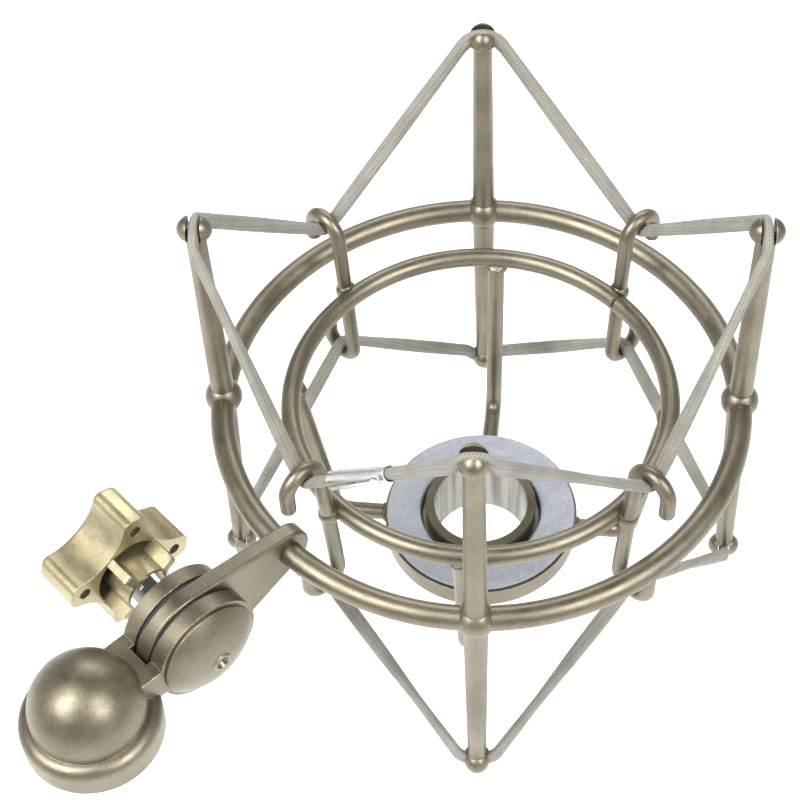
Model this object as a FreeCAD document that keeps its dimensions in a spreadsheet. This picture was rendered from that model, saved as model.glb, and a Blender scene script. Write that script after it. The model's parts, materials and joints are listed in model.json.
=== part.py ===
"""Elastic spider shock mount for a studio microphone, on a tilting stand adapter.

Units are millimetres. The origin is the mouth of the stand thread, at the centre of the
adapter's foot, with +Z up. The arm leads from the adapter to the cage along arm_azimuth.
"""
import FreeCAD, Part
import math
import os

import Sketcher

App = FreeCAD
Vector = App.Vector
UP = Vector(0, 0, 1)

doc = App.newDocument("shock_mount")

# ---------------------------------------------------------------- driving dimensions
SIZES = {
    # layout
    "arm_azimuth": 45,            # direction from the adapter to the cage, degrees
    "adapter_reach": 29.8,        # adapter axis to swivel bolt
    "arm_reach": 29.7,            # swivel bolt to the outer ring's centre line
    "pivot_height": 10.6,
    "cage_height": 14.1,          # outer ring's plane above the origin
    # outer frame
    "ring_radius": 65,
    "ring_rod": 3.0,              # rod sizes are radii
    "ring_collar": 4.7,
    "spigot": 1.98,
    "socket": 2.0,
    "shoulder": 3.9,              # where a post leaves its collar
    "post_seam": 0.12,            # gap under a post's shoulder, and between two spigots
    "post_root": 2.95,
    "post_tip": 2.35,
    "upper_post": 61.5,           # collar centre to head centre
    "lower_post": 64.5,
    "lower_lean": 1.8,            # outward lean of a lower post, degrees
    "head_long": 4.15,
    "head_short": 3.45,
    "slot_width": 3.4,
    "saddle": 3.3,                # radius of the rounded floor that the elastic bends over
    "saddle_drop": 4.6,
    # elastics
    "elastic": 1.4,
    "saddle_bend": 4.8,
    "hook_bend": 3.4,
    "elastic_turn": 6,            # bend where the elastic leaves a post for a crook
    "crimp_outer": 2.15,
    "crimp_length": 24,
    "crimp_start": 11.8,            # distance along the run from the hook
    # cradle
    "inner_radius": 47.8,
    "inner_rod": 2.45,
    "hook_rod": 1.9,
    "crook_radius": 5,
    "crook_reach": 57.2,          # crook centre to cage axis
    "crook_height": 17.7,
    "crook_tip": 13,
    "foot_crook_radius": 4.7,
    "foot_crook_reach": 54.5,
    "foot_crook_height": -23,
    "foot_crook_tip": -17.7,
    "weld": 2.7,
    "support_rod": 2.2,
    "support_twist": -4.5,        # supports sit a little round from the posts, degrees
    "support_knee": 40.5,
    "support_height": -53.8,
    "knee_bend": 5,
    # seat
    "dish_radius": 26.1,
    "dish_wall": 1.1,
    "dish_top": -50.2,
    "seat_floor": -52.6,
    "dish_bottom": -57,
    "dish_hollow": -54.4,
    "hub_outer": 18,
    "hub_bore": 14.96,
    "felt_outer": 24.7,
    "felt_inner": 16.3,
    "felt_top": -49.6,
    # threaded sleeve
    "sleeve_outer": 14.9,
    "sleeve_bore": 12.6,
    "sleeve_top": -46,
    "sleeve_bottom": -64.5,
    "grip_radius": 19.4,
    "grip_top": -57.2,
    "grip_flute": 1.1,
    "groove_radius": 14.1,
    "clip_outer": 15.9,
    "clip_bottom": -52.5,
    "clip_top": -51.5,
    # stand adapter
    "rim_radius": 16.7,
    "rim_shoulder": 3,
    "rim_wall": 6,
    "rim_edge": 1,
    "dome_radius": 13.8,
    "dome_centre": 10.5,
    "stand_bore": 7.43,           # 5/8"-27 minor diameter, as a radius
    "stand_depth": 14,
    "ear_radius": 13.8,
    "ear_face": 7.1,
    "fork_gap": 3.1,              # half the slot between the ears
    "fork_root": 15.4,
    "prong_height": 9,
    # swivel
    "plate_half": 2.2,
    "arm_disc": 14,
    "arm_eye": 6,
    "eye_bore": 3.06,
    "arm_fillet": 0.7,
    "bolt": 2.5,
    "bolt_bore": 2.55,
    "washer_radius": 13.2,
    "washer_thick": 0.8,
    "cap_radius": 12.6,
    "cap_edge": 0.6,
    "cap_height": 5.2,
    "bolt_end": 12.6,
    "bolt_length": 43,
    # clamp knob
    "collar_outer": 6,
    "collar_end": 15.1,
    "star_radius": 17.2,
    "star_near": 22.5,
    "star_far": 35.5,
    "flank_centre": 23.4,
    "flank_radius": 13.2,
    "lobe_fillet": 2.4,
    "face_fillet": 1.2,
    "star_turn": 16.5,            # a lobe's angle from the line to the adapter, degrees
    "cavity_radius": 9.2,
    "cavity_floor": 33.5,
    "hub_core": 6.2,
    "hub_arm": 9.6,
    "hub_arm_width": 2.2,
    "hub_corner": 1.2,
    "knob_bore_end": 32,
    "pocket_radius": 1.5,
    "pocket_reach": 13.3,
    "pocket_depth": 2.5,
}

sheet = doc.addObject("Spreadsheet::Sheet", "dims")
for row, (word, value) in enumerate(SIZES.items(), start=1):
    sheet.set("A%d" % row, word)
    sheet.set("B%d" % row, str(value))
    sheet.setAlias("B%d" % row, word)
doc.recompute()


def size(word):
    """The sheet's value for a word."""
    return float(sheet.get(word))


# ---------------------------------------------------------------- places
QUARTERS = {"right": 0, "back": 90, "left": 180, "front": 270}
CORNERS = {"back_right": 45, "back_left": 135, "front_left": 225, "front_right": 315}


def turn(degrees, axis=UP):
    return App.Rotation(axis, degrees)


def cage_centre():
    """The cage stands at the far end of the adapter, the arm and the ring's radius."""
    reach = size("adapter_reach") + size("arm_reach") + size("ring_radius")
    return turn(size("arm_azimuth")).multVec(Vector(reach, 0, 0)) + Vector(0, 0, size("cage_height"))


def in_cage(azimuth=0, offset=Vector(0, 0, 0)):
    """A place in the cage, turned about its axis; offset is taken before the turn."""
    return App.Placement(cage_centre() + turn(azimuth).multVec(offset), turn(azimuth))


def in_swivel(offset=Vector(0, 0, 0)):
    """A place in the adapter's frame: +X leads to the cage and +Y to the clamp knob."""
    return App.Placement(turn(size("arm_azimuth")).multVec(offset), turn(size("arm_azimuth")))


NODES = []


def node(thing, label, place):
    """Names a finished sub-part, sets where it stands and keeps it for export."""
    thing.Label = label
    thing.Placement = place
    NODES.append(thing)
    return thing


# ---------------------------------------------------------------- small builders
def primitive(kind, name, at=(0, 0, 0), rotation=None, **rules):
    """A Part primitive. A size or a coordinate given as text is bound to the sheet."""
    thing = doc.addObject("Part::" + kind, name)
    if rotation:
        thing.Placement.Rotation = rotation
    for letter, where in zip("xyz", at):
        if isinstance(where, str):
            thing.setExpression("Placement.Base." + letter, where)
        else:
            setattr(thing.Placement.Base, letter, where)
    for prop, rule in rules.items():
        if isinstance(rule, str):
            thing.setExpression(prop, rule)
        else:
            setattr(thing, prop, rule)
    return thing


def cut(name, base, tool):
    thing = doc.addObject("Part::Cut", name)
    thing.Base = base
    thing.Tool = tool
    return thing


def fuse(name, *shapes):
    thing = doc.addObject("Part::MultiFuse", name)
    thing.Shapes = list(shapes)
    return thing


def new_body(name):
    return doc.addObject("PartDesign::Body", name)


def origin_plane(body, role):
    for feature in body.Origin.OriginFeatures:
        if feature.Role == role:
            return feature
    raise ValueError(role)


def sketch_on(body, name, role="XZ_Plane"):
    sketch = body.newObject("Sketcher::SketchObject", name)
    sketch.AttachmentSupport = (origin_plane(body, role), "")
    sketch.MapMode = "FlatFace"
    return sketch


def value(rule):
    """What a rule comes to; a plain number stands for itself."""
    return float(sheet.evalExpression(rule)) if isinstance(rule, str) else float(rule)


def bind(sketch, kind, geometry, point=None, *, rule):
    """Dimensions a point from the sketch's origin, or a radius, and binds it to the sheet."""
    where = (geometry,) if point is None else (geometry, point)
    if point is not None and value(rule) == 0:
        axis = -2 if kind == "DistanceX" else -1
        sketch.addConstraint(Sketcher.Constraint("PointOnObject", geometry, point, axis))
        return
    number = sketch.addConstraint(Sketcher.Constraint(kind, *where, value(rule)))
    if isinstance(rule, str):
        sketch.setExpression("Constraints[%d]" % number, rule)


def circle(sketch, x_rule, y_rule, radius_rule):
    """A circle with its centre and radius bound to the sheet."""
    centre = Vector(value(x_rule), value(y_rule), 0)
    ring = sketch.addGeometry(Part.Circle(centre, UP, value(radius_rule)), False)
    bind(sketch, "DistanceX", ring, 3, rule=x_rule)
    bind(sketch, "DistanceY", ring, 3, rule=y_rule)
    bind(sketch, "Radius", ring, rule=radius_rule)
    return ring


def outline(sketch, corners):
    """A closed outline through corners of (x rule, y rule). A third item bends the side
    that leaves the corner: (centre x rule, centre y rule, radius rule, anticlockwise)."""
    spots = [Vector(value(c[0]), value(c[1]), 0) for c in corners]
    sides = []
    for spot, corner, after in zip(spots, corners, spots[1:] + spots[:1]):
        if len(corner) == 2:
            side = sketch.addGeometry(Part.LineSegment(spot, after), False)
            sides.append((side, 1, 2))
            continue
        centre_x, centre_y, radius_rule, anticlockwise = corner[2]
        ring = Part.Circle(Vector(value(centre_x), value(centre_y), 0), UP, value(radius_rule))
        first, last = (spot, after) if anticlockwise else (after, spot)
        arc = Part.ArcOfCircle(ring, ring.parameter(first), ring.parameter(last))
        side = sketch.addGeometry(arc, False)
        sides.append((side, 1, 2) if anticlockwise else (side, 2, 1))
    for number, corner in enumerate(corners):
        before, before_end = sides[number - 1][0], sides[number - 1][2]
        side, begin = sides[number][0], sides[number][1]
        sketch.addConstraint(Sketcher.Constraint("Coincident", before, before_end, side, begin))
        for kind, rule in (("DistanceX", corner[0]), ("DistanceY", corner[1])):
            bind(sketch, kind, side, begin, rule=rule)
        if len(corner) == 3:
            bind(sketch, "DistanceX", side, 3, rule=corner[2][0])
    return sides


def revolve(name, corners):
    """A body turned about Z from an outline in the XZ plane."""
    body = new_body(name)
    sketch = sketch_on(body, name + "_profile")
    outline(sketch, corners)
    turned = body.newObject("PartDesign::Revolution", name + "_turned")
    turned.Profile = sketch
    turned.ReferenceAxis = (sketch, ["V_Axis"])
    turned.Angle = 360
    body.Tip = turned
    sketch.Visibility = False
    return body


def cutter(body, kind, sketch, name, **settings):
    """A Pocket or Pad in a body from one of its sketches."""
    feature = body.newObject("PartDesign::" + kind, name)
    feature.Profile = sketch
    for prop, rule in settings.items():
        if isinstance(rule, str) and rule.startswith("dims."):
            feature.setExpression(prop, rule)
        else:
            setattr(feature, prop, rule)
    body.Tip = feature
    return feature


def soften(body, feature, name, rule, wanted):
    """A fillet on the wanted edges of a feature that has been recomputed."""
    edges = ["Edge%d" % (n + 1) for n, edge in enumerate(feature.Shape.Edges) if wanted(edge)]
    fillet = body.newObject("PartDesign::Fillet", name)
    fillet.Base = (feature, edges)
    fillet.setExpression("Radius", rule)
    body.Tip = fillet
    return fillet


def pattern(body, feature, name, count):
    """Repeats a feature round its body's Z axis."""
    ring = body.newObject("PartDesign::PolarPattern", name)
    ring.Originals = [feature]
    ring.Axis = (origin_plane(body, "Z_Axis"), [""])
    ring.Angle = 360
    ring.Occurrences = count
    body.Tip = ring
    return ring


# ---------------------------------------------------------------- stand adapter (root)
def make_stand_adapter():
    """Domed foot with a rounded rim and a threaded socket, and a fork for the arm."""
    body = revolve("stand_adapter", [
        ("dims.stand_bore", 0),
        ("dims.rim_radius - dims.rim_edge", 0,
         ("dims.rim_radius - dims.rim_edge", "dims.rim_edge", "dims.rim_edge", True)),
        ("dims.rim_radius", "dims.rim_edge"),
        ("dims.rim_radius", "dims.rim_wall",
         ("dims.rim_radius - dims.rim_shoulder", "dims.rim_wall", "dims.rim_shoulder", True)),
        ("sqrt(dims.dome_radius ^ 2 - (dims.dome_centre - dims.rim_wall - dims.rim_shoulder) ^ 2)",
         "dims.rim_wall + dims.rim_shoulder", (0, "dims.dome_centre", "dims.dome_radius", True)),
        (0, "dims.dome_centre + dims.dome_radius"),
        (0, "dims.stand_depth"),
        ("dims.stand_bore", "dims.stand_depth"),
    ])
    prong = sketch_on(body, "prong_profile")
    outline(prong, [
        ("dims.dome_radius - 4", "dims.pivot_height - dims.prong_height / 2"),
        ("dims.adapter_reach", "dims.pivot_height - dims.prong_height / 2"),
        ("dims.adapter_reach", "dims.pivot_height + dims.prong_height / 2"),
        ("dims.dome_radius - 4", "dims.pivot_height + dims.prong_height / 2"),
    ])
    cutter(body, "Pad", prong, "prongs", Length="dims.ear_face * 2", SideType="Symmetric")
    ear = sketch_on(body, "ear_profile")
    circle(ear, "dims.adapter_reach", "dims.pivot_height", "dims.ear_radius")
    cutter(body, "Pad", ear, "ears", Length="dims.ear_face * 2", SideType="Symmetric")
    slot = sketch_on(body, "slot_profile", "XY_Plane")
    outline(slot, [
        ("dims.fork_root", "-dims.fork_gap"),
        ("dims.adapter_reach + dims.ear_radius + 1", "-dims.fork_gap"),
        ("dims.adapter_reach + dims.ear_radius + 1", "dims.fork_gap"),
        ("dims.fork_root", "dims.fork_gap"),
    ])
    cutter(body, "Pocket", slot, "fork_slot", Type="ThroughAll", SideType="Symmetric")
    hole = sketch_on(body, "bolt_hole_profile")
    circle(hole, "dims.adapter_reach", "dims.pivot_height", "dims.bolt_bore")
    cutter(body, "Pocket", hole, "bolt_hole", Type="ThroughAll", SideType="Symmetric")
    return node(body, "stand_adapter", in_swivel())


ALONG_Y = turn(-90, Vector(1, 0, 0))      # lays a part's own Z axis along +Y
PIVOT = ("dims.adapter_reach", "dims.pivot_height")


def washer(name, inner, outer, start, length):
    """A plain ring round the swivel bolt, from one distance along +Y for a length."""
    at = (PIVOT[0], start, PIVOT[1])
    disc = primitive("Cylinder", name + "_disc", at, ALONG_Y, Radius=outer, Height=length)
    bore = primitive("Cylinder", name + "_bore", at, ALONG_Y, Radius=inner, Height=length)
    return cut(name, disc, bore)


def make_friction_washers():
    """One fibre washer each side of the arm."""
    start = "dims.plate_half + (dims.fork_gap - dims.plate_half - dims.washer_thick) / 2"
    pair = fuse(
        "friction_washers",
        washer("washer_knob_side", "dims.bolt_bore", "dims.washer_radius", start, "dims.washer_thick"),
        washer("washer_cap_side", "dims.bolt_bore", "dims.washer_radius",
               "-(" + start + ") - dims.washer_thick", "dims.washer_thick"))
    return node(pair, "friction_washers", in_swivel())


def make_domed_cap():
    """Shallow dome that seats the bolt against the ear away from the knob."""
    body = new_body("domed_cap")
    sketch = sketch_on(body, "cap_profile")
    rise = "(dims.cap_height - dims.cap_edge)"
    crown = "((dims.cap_radius ^ 2 + " + rise + " ^ 2) / (2 * " + rise + "))"
    bore_rise = "dims.cap_height - " + crown + " + sqrt(" + crown + " ^ 2 - dims.bolt_bore ^ 2)"
    outline(sketch, [
        ("dims.bolt_bore", 0),
        ("dims.cap_radius", 0),
        ("dims.cap_radius", "dims.cap_edge", (0, "dims.cap_height - " + crown, crown, True)),
        ("dims.bolt_bore", bore_rise),
    ])
    turned = body.newObject("PartDesign::Revolution", "cap_turned")
    turned.Profile = sketch
    turned.ReferenceAxis = (sketch, ["V_Axis"])
    turned.Angle = 360
    body.Tip = turned
    outward = turn(90, Vector(1, 0, 0))
    place = in_swivel(Vector(size("adapter_reach"), -size("ear_face"), size("pivot_height")))
    return node(body, "domed_cap", App.Placement(place.Base, place.Rotation.multiply(outward)))


def make_pivot_bolt():
    """Clamp bolt: dimpled end in the cap, plain shank through the fork into the knob."""
    at = (PIVOT[0], "-dims.bolt_end", PIVOT[1])
    shank = primitive("Cylinder", "bolt_shank", at, ALONG_Y, Radius="dims.bolt",
                      Height="dims.bolt_length")
    dimple = primitive("Cone", "bolt_dimple", at, ALONG_Y, Radius1="dims.bolt * 0.7",
                       Radius2="dims.bolt * 0.4", Height="dims.bolt * 0.5")
    tipped = doc.addObject("Part::Chamfer", "bolt_chamfer")
    drilled = cut("bolt_drilled", shank, dimple)
    doc.recompute()
    tipped.Base = drilled
    rims = [n + 1 for n, edge in enumerate(drilled.Shape.Edges)
            if edge.Closed and abs(edge.Curve.Radius - size("bolt")) < 0.01]
    tipped.Edges = [(n, 0.4, 0.4) for n in rims]
    return node(tipped, "pivot_bolt", in_swivel())


# ---------------------------------------------------------------- clamp collar and knob
def make_clamp_collar():
    """Plain spacer between the ear and the knob's hub."""
    body = new_body("clamp_collar")
    sketch = sketch_on(body, "collar_profile")
    length = "dims.collar_end - dims.ear_face"
    outline(sketch, [
        ("dims.bolt_bore", 0),
        ("dims.collar_outer - 0.5", 0),
        ("dims.collar_outer", 0.5),
        ("dims.collar_outer", length + " - 0.5"),
        ("dims.collar_outer - 0.5", length),
        ("dims.bolt_bore", length),
    ])
    turned = body.newObject("PartDesign::Revolution", "collar_turned")
    turned.Profile = sketch
    turned.ReferenceAxis = (sketch, ["V_Axis"])
    turned.Angle = 360
    body.Tip = turned
    place = in_swivel(Vector(size("adapter_reach"), size("ear_face"), size("pivot_height")))
    return node(body, "clamp_collar", App.Placement(place.Base, place.Rotation.multiply(ALONG_Y)))


def make_star_knob():
    """Four-lobed cast knob, hollow towards the fork, with a cross-shaped hub."""
    body = new_body("star_knob")
    blank = sketch_on(body, "star_blank", "XY_Plane")
    circle(blank, 0, 0, "dims.star_radius")
    star = cutter(body, "Pad", blank, "star", Length="dims.star_far - dims.star_near")
    flank = sketch_on(body, "flank_profile", "XY_Plane")
    circle(flank, "dims.flank_centre", 0, "dims.flank_radius")
    scoop = cutter(body, "Pocket", flank, "flank", Type="ThroughAll", SideType="Symmetric")
    flanks = pattern(body, scoop, "flanks", 4)
    doc.recompute()
    lobes = soften(body, flanks, "lobe_fillets", "dims.lobe_fillet",
                   lambda edge: isinstance(edge.Curve, Part.Line))
    doc.recompute()
    far = star.Length.Value
    soften(body, lobes, "face_fillet", "dims.face_fillet",
           lambda edge: all(abs(v.Point.z - far) < 0.01 for v in edge.Vertexes))
    cavity = sketch_on(body, "cavity_profile", "XY_Plane")
    circle(cavity, 0, 0, "dims.cavity_radius")
    hollow = cutter(body, "Pocket", cavity, "cavity", Length="dims.cavity_floor - dims.star_near")
    hollow.Reversed = True
    pocket = sketch_on(body, "pocket_profile", "XY_Plane")
    circle(pocket, "dims.pocket_reach * cos(45)", "dims.pocket_reach * sin(45)", "dims.pocket_radius")
    dot = cutter(body, "Pocket", pocket, "lobe_pocket", Length="dims.pocket_depth")
    dot.Reversed = True
    pattern(body, dot, "lobe_pockets", 4)
    core = sketch_on(body, "hub_core_profile", "XY_Plane")
    circle(core, 0, 0, "dims.hub_core")
    reach = {"SideType": "Two sides",
             "Length": "dims.cavity_floor - dims.star_near",
             "Length2": "dims.star_near - dims.collar_end"}
    cutter(body, "Pad", core, "hub_core", **reach)
    arm = sketch_on(body, "hub_arm_profile", "XY_Plane")
    outline(arm, [
        (0, "-dims.hub_arm_width / 2"),
        ("dims.hub_arm", "-dims.hub_arm_width / 2"),
        ("dims.hub_arm", "dims.hub_arm_width / 2"),
        (0, "dims.hub_arm_width / 2"),
    ])
    rib = cutter(body, "Pad", arm, "hub_arm", **reach)
    ribs = pattern(body, rib, "hub_arms", 4)
    doc.recompute()
    near = size("collar_end") - size("star_near")
    outside = size("hub_arm") - 0.01
    soften(body, ribs, "hub_corners", "dims.hub_corner",
           lambda edge: all(abs(v.Point.z - near) < 0.01 and math.hypot(v.X, v.Y) > outside
                            for v in edge.Vertexes))
    bore = sketch_on(body, "knob_bore_profile", "XY_Plane")
    circle(bore, 0, 0, "dims.bolt_bore")
    drill = cutter(body, "Pocket", bore, "knob_bore", SideType="Two sides",
                   Length="dims.star_near - dims.collar_end",
                   Length2="dims.knob_bore_end - dims.star_near")
    place = in_swivel(Vector(size("adapter_reach"), size("star_near"), size("pivot_height")))
    spin = ALONG_Y.multiply(turn(135 + size("star_turn")))
    return node(body, "star_knob", App.Placement(place.Base, place.Rotation.multiply(spin)))


# ---------------------------------------------------------------- arm and outer frame
ARM_LENGTH = "sqrt(dims.arm_reach ^ 2 + (dims.cage_height - dims.pivot_height) ^ 2)"


def make_swivel_arm():
    """Flat arm that widens from an eye round the outer ring to a disc on the bolt."""
    body = new_body("swivel_arm")
    sketch = sketch_on(body, "arm_profile")
    slope = "((dims.arm_disc - dims.arm_eye) / " + ARM_LENGTH + ")"
    fall = "sqrt(1 - " + slope + " ^ 2)"
    disc_x = "dims.arm_disc * " + slope
    disc_y = "dims.arm_disc * " + fall
    eye_x = ARM_LENGTH + " + dims.arm_eye * " + slope
    eye_y = "dims.arm_eye * " + fall
    outline(sketch, [
        (disc_x, "-" + disc_y),
        (eye_x, "-" + eye_y, (ARM_LENGTH, 0, "dims.arm_eye", True)),
        (eye_x, eye_y),
        (disc_x, disc_y, (0, 0, "dims.arm_disc", True)),
    ])
    plate = cutter(body, "Pad", sketch, "plate", Length="dims.plate_half * 2", SideType="Symmetric")
    doc.recompute()
    soften(body, plate, "arm_fillet", "dims.arm_fillet",
           lambda edge: abs(abs(edge.CenterOfMass.y) - size("plate_half")) < 0.01)
    holes = sketch_on(body, "arm_holes")
    circle(holes, 0, 0, "dims.bolt_bore")
    circle(holes, ARM_LENGTH, 0, "dims.eye_bore")
    cutter(body, "Pocket", holes, "holes", Type="ThroughAll", SideType="Symmetric")
    place = in_swivel(Vector(size("adapter_reach"), 0, size("pivot_height")))
    rise = math.degrees(math.atan2(size("cage_height") - size("pivot_height"), size("arm_reach")))
    tilt = place.Rotation.multiply(turn(-rise, Vector(0, 1, 0)))
    return node(body, "swivel_arm", App.Placement(place.Base, tilt))


def ring_stub(name, start, sweep):
    """A length of the outer ring's rod, from one angle for a sweep, about the cage axis."""
    return primitive("Torus", name, (0, 0, 0), turn(start), Radius1="dims.ring_radius",
                     Radius2="dims.ring_rod", Angle3=sweep)


RING_END = "asin((dims.socket + 1) / dims.ring_radius)"      # where a ring rod stops in a collar


def make_outer_ring(corner, azimuth):
    """One quarter of the outer ring; its ends sit in the two collars."""
    rod = ring_stub("ring_" + corner, 0, "90 deg - 2 * " + RING_END)
    start = azimuth - 45 + value(RING_END)
    return node(rod, "ring_rod_" + corner, in_cage(start))


def make_collar(side, azimuth):
    """Ball that joins two ring rods and two posts, with a socket for each."""
    at = ("dims.ring_radius", 0, 0)
    ball = primitive("Sphere", "ball_" + side, at, Radius="dims.ring_collar")
    box = primitive("Box", "ball_band_" + side,
                    ("dims.ring_radius - 10", -10, "-dims.shoulder"),
                    Length=20, Width=20, Height="dims.shoulder * 2")
    band = doc.addObject("Part::Common", "ball_flats_" + side)
    band.Base = ball
    band.Tool = box
    leaning = turn(180 - size("lower_lean"), Vector(0, 1, 0))
    tools = fuse(
        "collar_tools_" + side,
        primitive("Cylinder", "upper_socket_" + side, at, Radius="dims.socket", Height=10),
        primitive("Cylinder", "lower_socket_" + side, at, leaning, Radius="dims.socket", Height=10),
        ring_stub("ring_socket_a_" + side, value(RING_END), 10),
        ring_stub("ring_socket_b_" + side, -value(RING_END) - 10, 10))
    return node(cut("collar_" + side, band, tools), "ring_collar_" + side, in_cage(azimuth))


def make_post(side, azimuth, level):
    """A tapered post with a spigot in its collar and a slotted head for the elastic."""
    tag = level + "_" + side
    length = "dims.%s_post" % level
    shaft = primitive("Cone", "shaft_" + tag, (0, 0, "dims.shoulder + dims.post_seam"),
                      Radius1="dims.post_root", Radius2="dims.post_tip",
                      Height=length + " - dims.shoulder - dims.post_seam - 1.5")
    spigot = primitive("Cylinder", "spigot_" + tag, (0, 0, "dims.post_seam"),
                       Radius="dims.spigot", Height="dims.shoulder")
    head = primitive("Ellipsoid", "head_" + tag, (0, 0, length), Radius1="dims.head_short",
                     Radius2="dims.head_long", Radius3="dims.head_short")
    post = fuse("post_" + tag, shaft, spigot, head)
    slot = primitive("Box", "slot_" + tag,
                     ("-dims.slot_width / 2", -6, length + " - dims.saddle_drop"),
                     Length="dims.slot_width", Width=12, Height="dims.saddle_drop + 8")
    sideways = turn(90, Vector(0, 1, 0))
    floor = primitive("Cylinder", "saddle_" + tag, (-3, 0, length + " - dims.saddle_drop"), sideways,
                      Radius="dims.saddle", Height=6)
    shape = cut("slotted_" + tag, post, cut("slot_tool_" + tag, slot, floor))
    place = in_cage(azimuth, Vector(size("ring_radius"), 0, 0))
    if level == "lower":
        over = turn(180 - size("lower_lean"), Vector(0, 1, 0))
        place = App.Placement(place.Base, place.Rotation.multiply(over))
    return node(shape, level + "_post_" + side, place)


# ---------------------------------------------------------------- cradle
def inner_torus(name):
    return primitive("Torus", name, Radius1="dims.inner_radius", Radius2="dims.inner_rod")


def make_inner_ring():
    return node(inner_torus("inner_ring_torus"), "inner_ring", in_cage())


def swept_rod(name, sketch, radius_rule, start, rotation):
    """A round rod swept along a sketched path from its start point."""
    disc = primitive("Circle", name + "_section", start, rotation, Radius=radius_rule)
    rod = doc.addObject("Part::Sweep", name + "_sweep")
    rod.Sections = [disc]
    rod.Spine = (sketch, ["Edge%d" % (n + 1) for n in range(len(sketch.Shape.Edges))])
    rod.Solid = True
    rod.Frenet = False
    return rod


def path_sketch(name):
    """A path in the XZ plane, outside any body."""
    sketch = doc.addObject("Sketcher::SketchObject", name)
    sketch.Placement.Rotation = turn(90, Vector(1, 0, 0))
    return sketch


def joined(sketch, first, first_end, second, second_end):
    sketch.addConstraint(Sketcher.Constraint("Tangent", first, first_end, second, second_end))


def upright(sketch, x, low, high):
    return sketch.addGeometry(Part.LineSegment(Vector(x, low, 0), Vector(x, high, 0)), False)


def half_turn(sketch, reach_rule, height_rule, radius_rule, over):
    """A half circle of rod, open downwards when it goes over and upwards when it doesn't."""
    centre = Vector(value(reach_rule), value(height_rule), 0)
    ring = Part.Circle(centre, UP, value(radius_rule))
    start, finish = (0, math.pi) if over else (math.pi, 2 * math.pi)
    arc = sketch.addGeometry(Part.ArcOfCircle(ring, start, finish), False)
    bind(sketch, "DistanceX", arc, 3, rule=reach_rule)
    bind(sketch, "DistanceY", arc, 3, rule=height_rule)
    bind(sketch, "Radius", arc, rule=radius_rule)
    return arc


def make_hook_rod(corner, azimuth):
    """A rod welded outside the inner ring, with a crook for each elastic at its ends."""
    sketch = path_sketch("hook_path_" + corner)
    outer = size("crook_reach") + size("crook_radius")
    shaft_x = size("crook_reach") - size("crook_radius")
    foot_x = size("foot_crook_reach") + size("foot_crook_radius")
    tip = upright(sketch, outer, size("crook_tip"), size("crook_height"))
    crook = half_turn(sketch, "dims.crook_reach", "dims.crook_height", "dims.crook_radius", True)
    shaft = upright(sketch, shaft_x, size("foot_crook_height"), size("crook_height"))
    foot = half_turn(sketch, "dims.foot_crook_reach", "dims.foot_crook_height",
                     "dims.foot_crook_radius", False)
    toe = upright(sketch, foot_x, size("foot_crook_height"), size("foot_crook_tip"))
    joined(sketch, tip, 2, crook, 1)
    joined(sketch, crook, 2, shaft, 2)
    joined(sketch, shaft, 1, foot, 1)
    joined(sketch, foot, 2, toe, 1)
    sketch.addConstraint(Sketcher.Constraint("Vertical", tip))
    sketch.addConstraint(Sketcher.Constraint("Vertical", toe))
    bind(sketch, "DistanceY", tip, 1, rule="dims.crook_tip")
    bind(sketch, "DistanceY", toe, 2, rule="dims.foot_crook_tip")
    doc.recompute()
    rod = swept_rod("hook_" + corner, sketch, "dims.hook_rod",
                    ("dims.crook_reach + dims.crook_radius", 0, "dims.crook_tip"), None)
    weld = primitive("Sphere", "weld_" + corner,
                     ("dims.inner_radius + dims.inner_rod + 0.6", 0, 0), Radius="dims.weld")
    shape = cut("hook_shape_" + corner, fuse("hook_and_weld_" + corner, rod, weld),
                inner_torus("hook_saddle_" + corner))
    return node(shape, "hook_rod_" + corner, in_cage(azimuth))


def make_support_rod(side, azimuth):
    """A rod from under the inner ring down to a knee and in to the side of the dish."""
    sketch = path_sketch("support_path_" + side)
    bend = size("knee_bend")
    centre = Vector(size("support_knee") - bend, size("support_height") + bend, 0)
    outside = centre + Vector(bend, 0, 0)
    below = centre - Vector(0, bend, 0)
    leg = sketch.addGeometry(Part.LineSegment(Vector(size("inner_radius"), 0, 0), outside), False)
    ring = Part.Circle(centre, UP, bend)
    arc = sketch.addGeometry(Part.ArcOfCircle(ring, 1.5 * math.pi, 2 * math.pi), False)
    toe = sketch.addGeometry(Part.LineSegment(below, Vector(size("dish_radius") - 1, below.y, 0)), False)
    joined(sketch, leg, 2, arc, 2)
    joined(sketch, arc, 1, toe, 1)
    bind(sketch, "DistanceX", leg, 1, rule="dims.inner_radius")
    bind(sketch, "DistanceY", leg, 1, rule=0)
    bind(sketch, "Radius", arc, rule="dims.knee_bend")
    bind(sketch, "DistanceX", arc, 3, rule="dims.support_knee - dims.knee_bend")
    bind(sketch, "DistanceX", toe, 2, rule="dims.dish_radius - 1")
    bind(sketch, "DistanceY", toe, 2, rule="dims.support_height")
    sketch.addConstraint(Sketcher.Constraint("Horizontal", toe))
    doc.recompute()
    rod = swept_rod("support_" + side, sketch, "dims.support_rod",
                    ("dims.dish_radius - 1", 0, "dims.support_height"), turn(90, Vector(0, 1, 0)))
    dish = primitive("Cylinder", "support_stop_" + side, (0, 0, "dims.dish_bottom - 2"),
                     Radius="dims.dish_radius", Height=12)
    tools = fuse("support_tools_" + side, inner_torus("support_saddle_" + side), dish)
    place = in_cage(azimuth + size("support_twist"))
    return node(cut("support_shape_" + side, rod, tools), "support_rod_" + side, place)


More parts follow.
